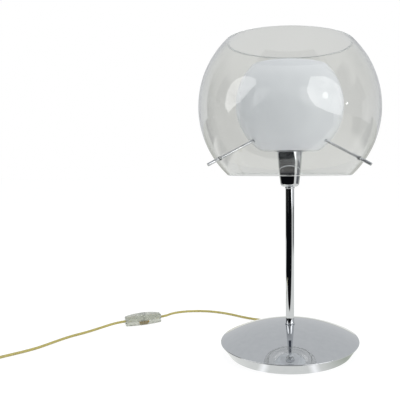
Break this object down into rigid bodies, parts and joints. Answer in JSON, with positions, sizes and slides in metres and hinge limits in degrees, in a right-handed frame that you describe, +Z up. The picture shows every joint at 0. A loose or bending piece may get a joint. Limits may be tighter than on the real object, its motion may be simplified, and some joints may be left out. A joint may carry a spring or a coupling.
{
  "type": "glass globe table lamp",
  "caption": "Table lamp with an opal glass globe inside a clear open glass globe on sloping chrome rods, a thin chrome stem, a domed chrome foot and a clear cord with a hand switch.",
  "frame": {"origin": "on the lamp axis at the bottom of the foot pad, the table top", "axes": "+Z up along the stem, -Y towards the viewer in the picture, +X to the right"},
  "size_m": [0.6059, 0.4228, 0.4608],
  "materials": {
    "chrome": "mirror-polished chrome plate",
    "zinc_steel": "zinc-plated steel",
    "cast_iron": "as cast",
    "felt": "black felt",
    "black_rubber": "soft black rubber",
    "black_plastic": "moulded black thermoplastic",
    "opal_glass": "glossy white opal glass",
    "clear_glass": "clear blown glass with polished rims",
    "frosted_glass": "frosted glass",
    "nickel": "nickel plate",
    "brass": "plain brass",
    "clear_plastic": "clear, slightly smoked thermoplastic",
    "amber_plastic": "translucent amber-brown thermoplastic",
    "clear_cord": "clear flexible PVC over gold-coloured conductors"
  },
  "bodies": {
    "lamp": {"base_cover": "chrome", "base_nipple": "zinc_steel", "base_nut": "zinc_steel", "base_plate": "zinc_steel", "base_washer": "zinc_steel", "base_weight": "cast_iron", "bulb_cap": "nickel", "bulb_envelope": "frosted_glass", "centre_contact": "brass", "cord_coil": "clear_cord", "cord_gland": "clear_plastic", "cord_lamp_side": "clear_cord", "cord_plug_side": "clear_cord", "cord_tail": "clear_cord", "cup_nipple": "zinc_steel", "cup_nut": "zinc_steel", "foot_pad": "felt", "holder_body": "black_plastic", "housing_screw": "zinc_steel", "inner_globe": "opal_glass", "inner_lead": "clear_cord", "lampholder_cup": "chrome", "neck_ring": "chrome", "opal_gasket": "black_rubber", "outer_globe": "clear_glass", "plate_screws": "zinc_steel", "plug_body": "clear_plastic", "plug_pin_sleeves": "black_plastic", "plug_pins": "nickel", "rod_cap_1": "chrome", "rod_cap_2": "chrome", "rod_cap_3": "chrome", "rod_grommet_1": "clear_plastic", "rod_grommet_2": "clear_plastic", "rod_grommet_3": "clear_plastic", "rod_hub": "chrome", "screw_shell": "brass", "shade_ring": "black_plastic", "stem_collar": "chrome", "stem_tube": "chrome", "support_rod_1": "chrome", "support_rod_2": "chrome", "support_rod_3": "chrome", "switch_lower_shell": "clear_plastic", "switch_terminals": "brass", "switch_upper_shell": "clear_plastic", "terminal_screws": "zinc_steel"},
    "rocker": {"switch_rocker": "amber_plastic", "switch_bridge": "brass"}
  },
  "joints": [
    {"name": "rocker_hinge", "type": "hinge", "parent": "lamp", "child": "rocker", "pos_m": [-0.26234, 0.11461, 0.005], "axis": [0, 0, 1], "range_deg": [0, 14]}
  ]
}
